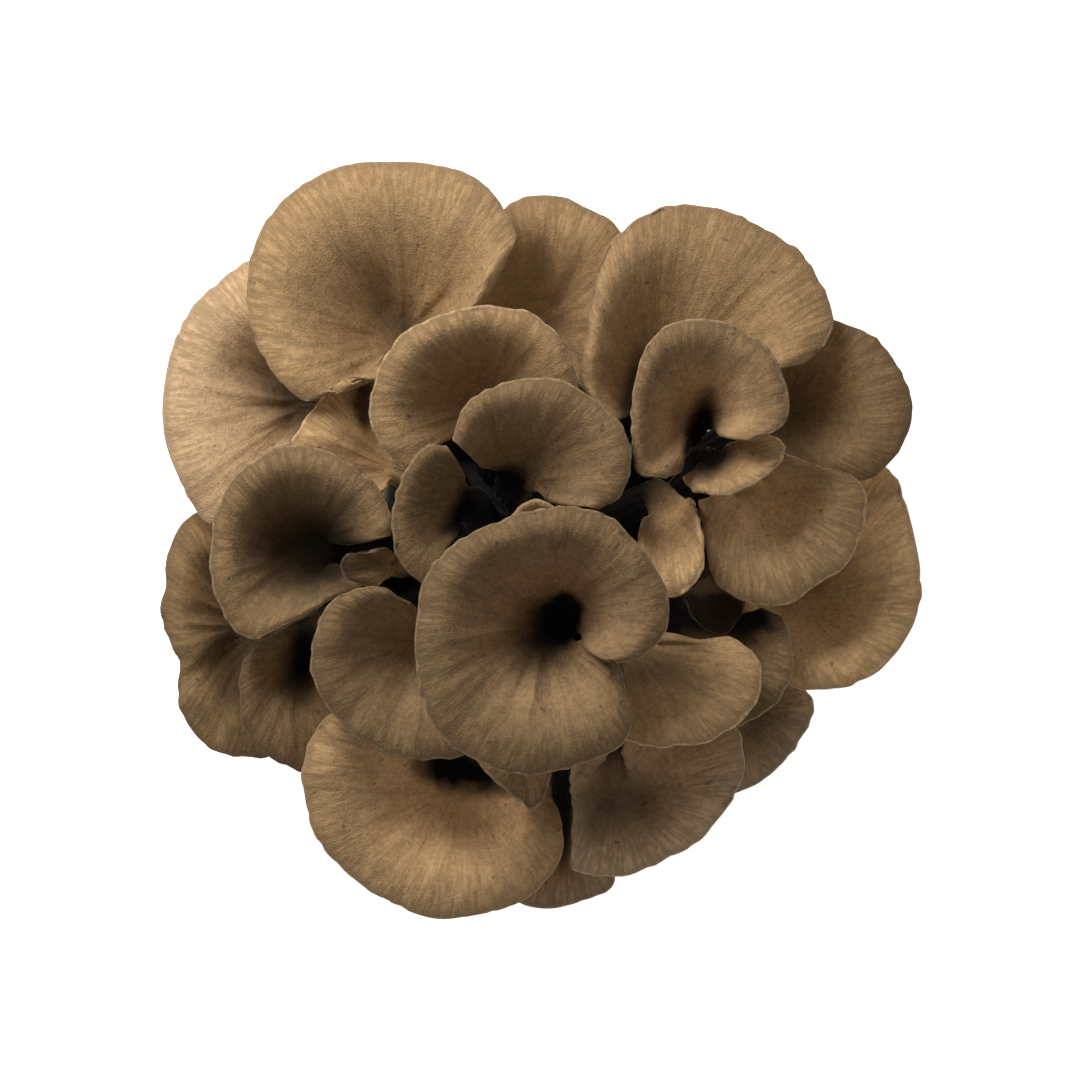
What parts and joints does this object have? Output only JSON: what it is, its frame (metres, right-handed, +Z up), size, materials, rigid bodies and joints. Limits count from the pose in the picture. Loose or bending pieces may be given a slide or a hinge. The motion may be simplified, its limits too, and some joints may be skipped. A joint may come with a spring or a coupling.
{
  "type": "maitake mushroom",
  "caption": "Maitake mushroom cluster: a rosette of curled fan and funnel caps on short stalks, rising from a fleshy butt with a flat cut face.",
  "frame": {"origin": "middle of the flat cut face under the butt", "axes": "+Z up from the cut face; +Y towards frond_outer_north; +X towards frond_outer_east_lower"},
  "size_m": [0.167, 0.1664, 0.0946],
  "materials": {
    "cap_flesh": "matte",
    "butt_flesh": "matte"
  },
  "bodies": {
    "root": {"butt": "butt_flesh", "frond_crown": "cap_flesh", "frond_inner_north": "cap_flesh", "frond_inner_north_tip": "cap_flesh", "frond_inner_west": "cap_flesh", "frond_inner_north_east": "cap_flesh", "frond_inner_east_curl": "cap_flesh", "frond_inner_east": "cap_flesh", "frond_inner_south_east": "cap_flesh", "frond_inner_south_west": "cap_flesh", "frond_middle_north": "cap_flesh", "frond_middle_north_west": "cap_flesh", "frond_middle_west": "cap_flesh", "frond_middle_west_tongue": "cap_flesh", "frond_middle_east": "cap_flesh", "frond_middle_east_small": "cap_flesh", "frond_middle_south_east": "cap_flesh", "frond_middle_south_small": "cap_flesh", "frond_outer_north_west": "cap_flesh", "frond_outer_north": "cap_flesh", "frond_outer_north_east": "cap_flesh", "frond_outer_east_upper": "cap_flesh", "frond_outer_east_lower": "cap_flesh", "frond_outer_south_east": "cap_flesh", "frond_outer_south": "cap_flesh", "frond_outer_south_low": "cap_flesh", "frond_outer_south_west": "cap_flesh", "frond_outer_west_inner": "cap_flesh", "frond_outer_west_lower": "cap_flesh", "frond_outer_west_upper": "cap_flesh"}
  },
  "joints": []
}
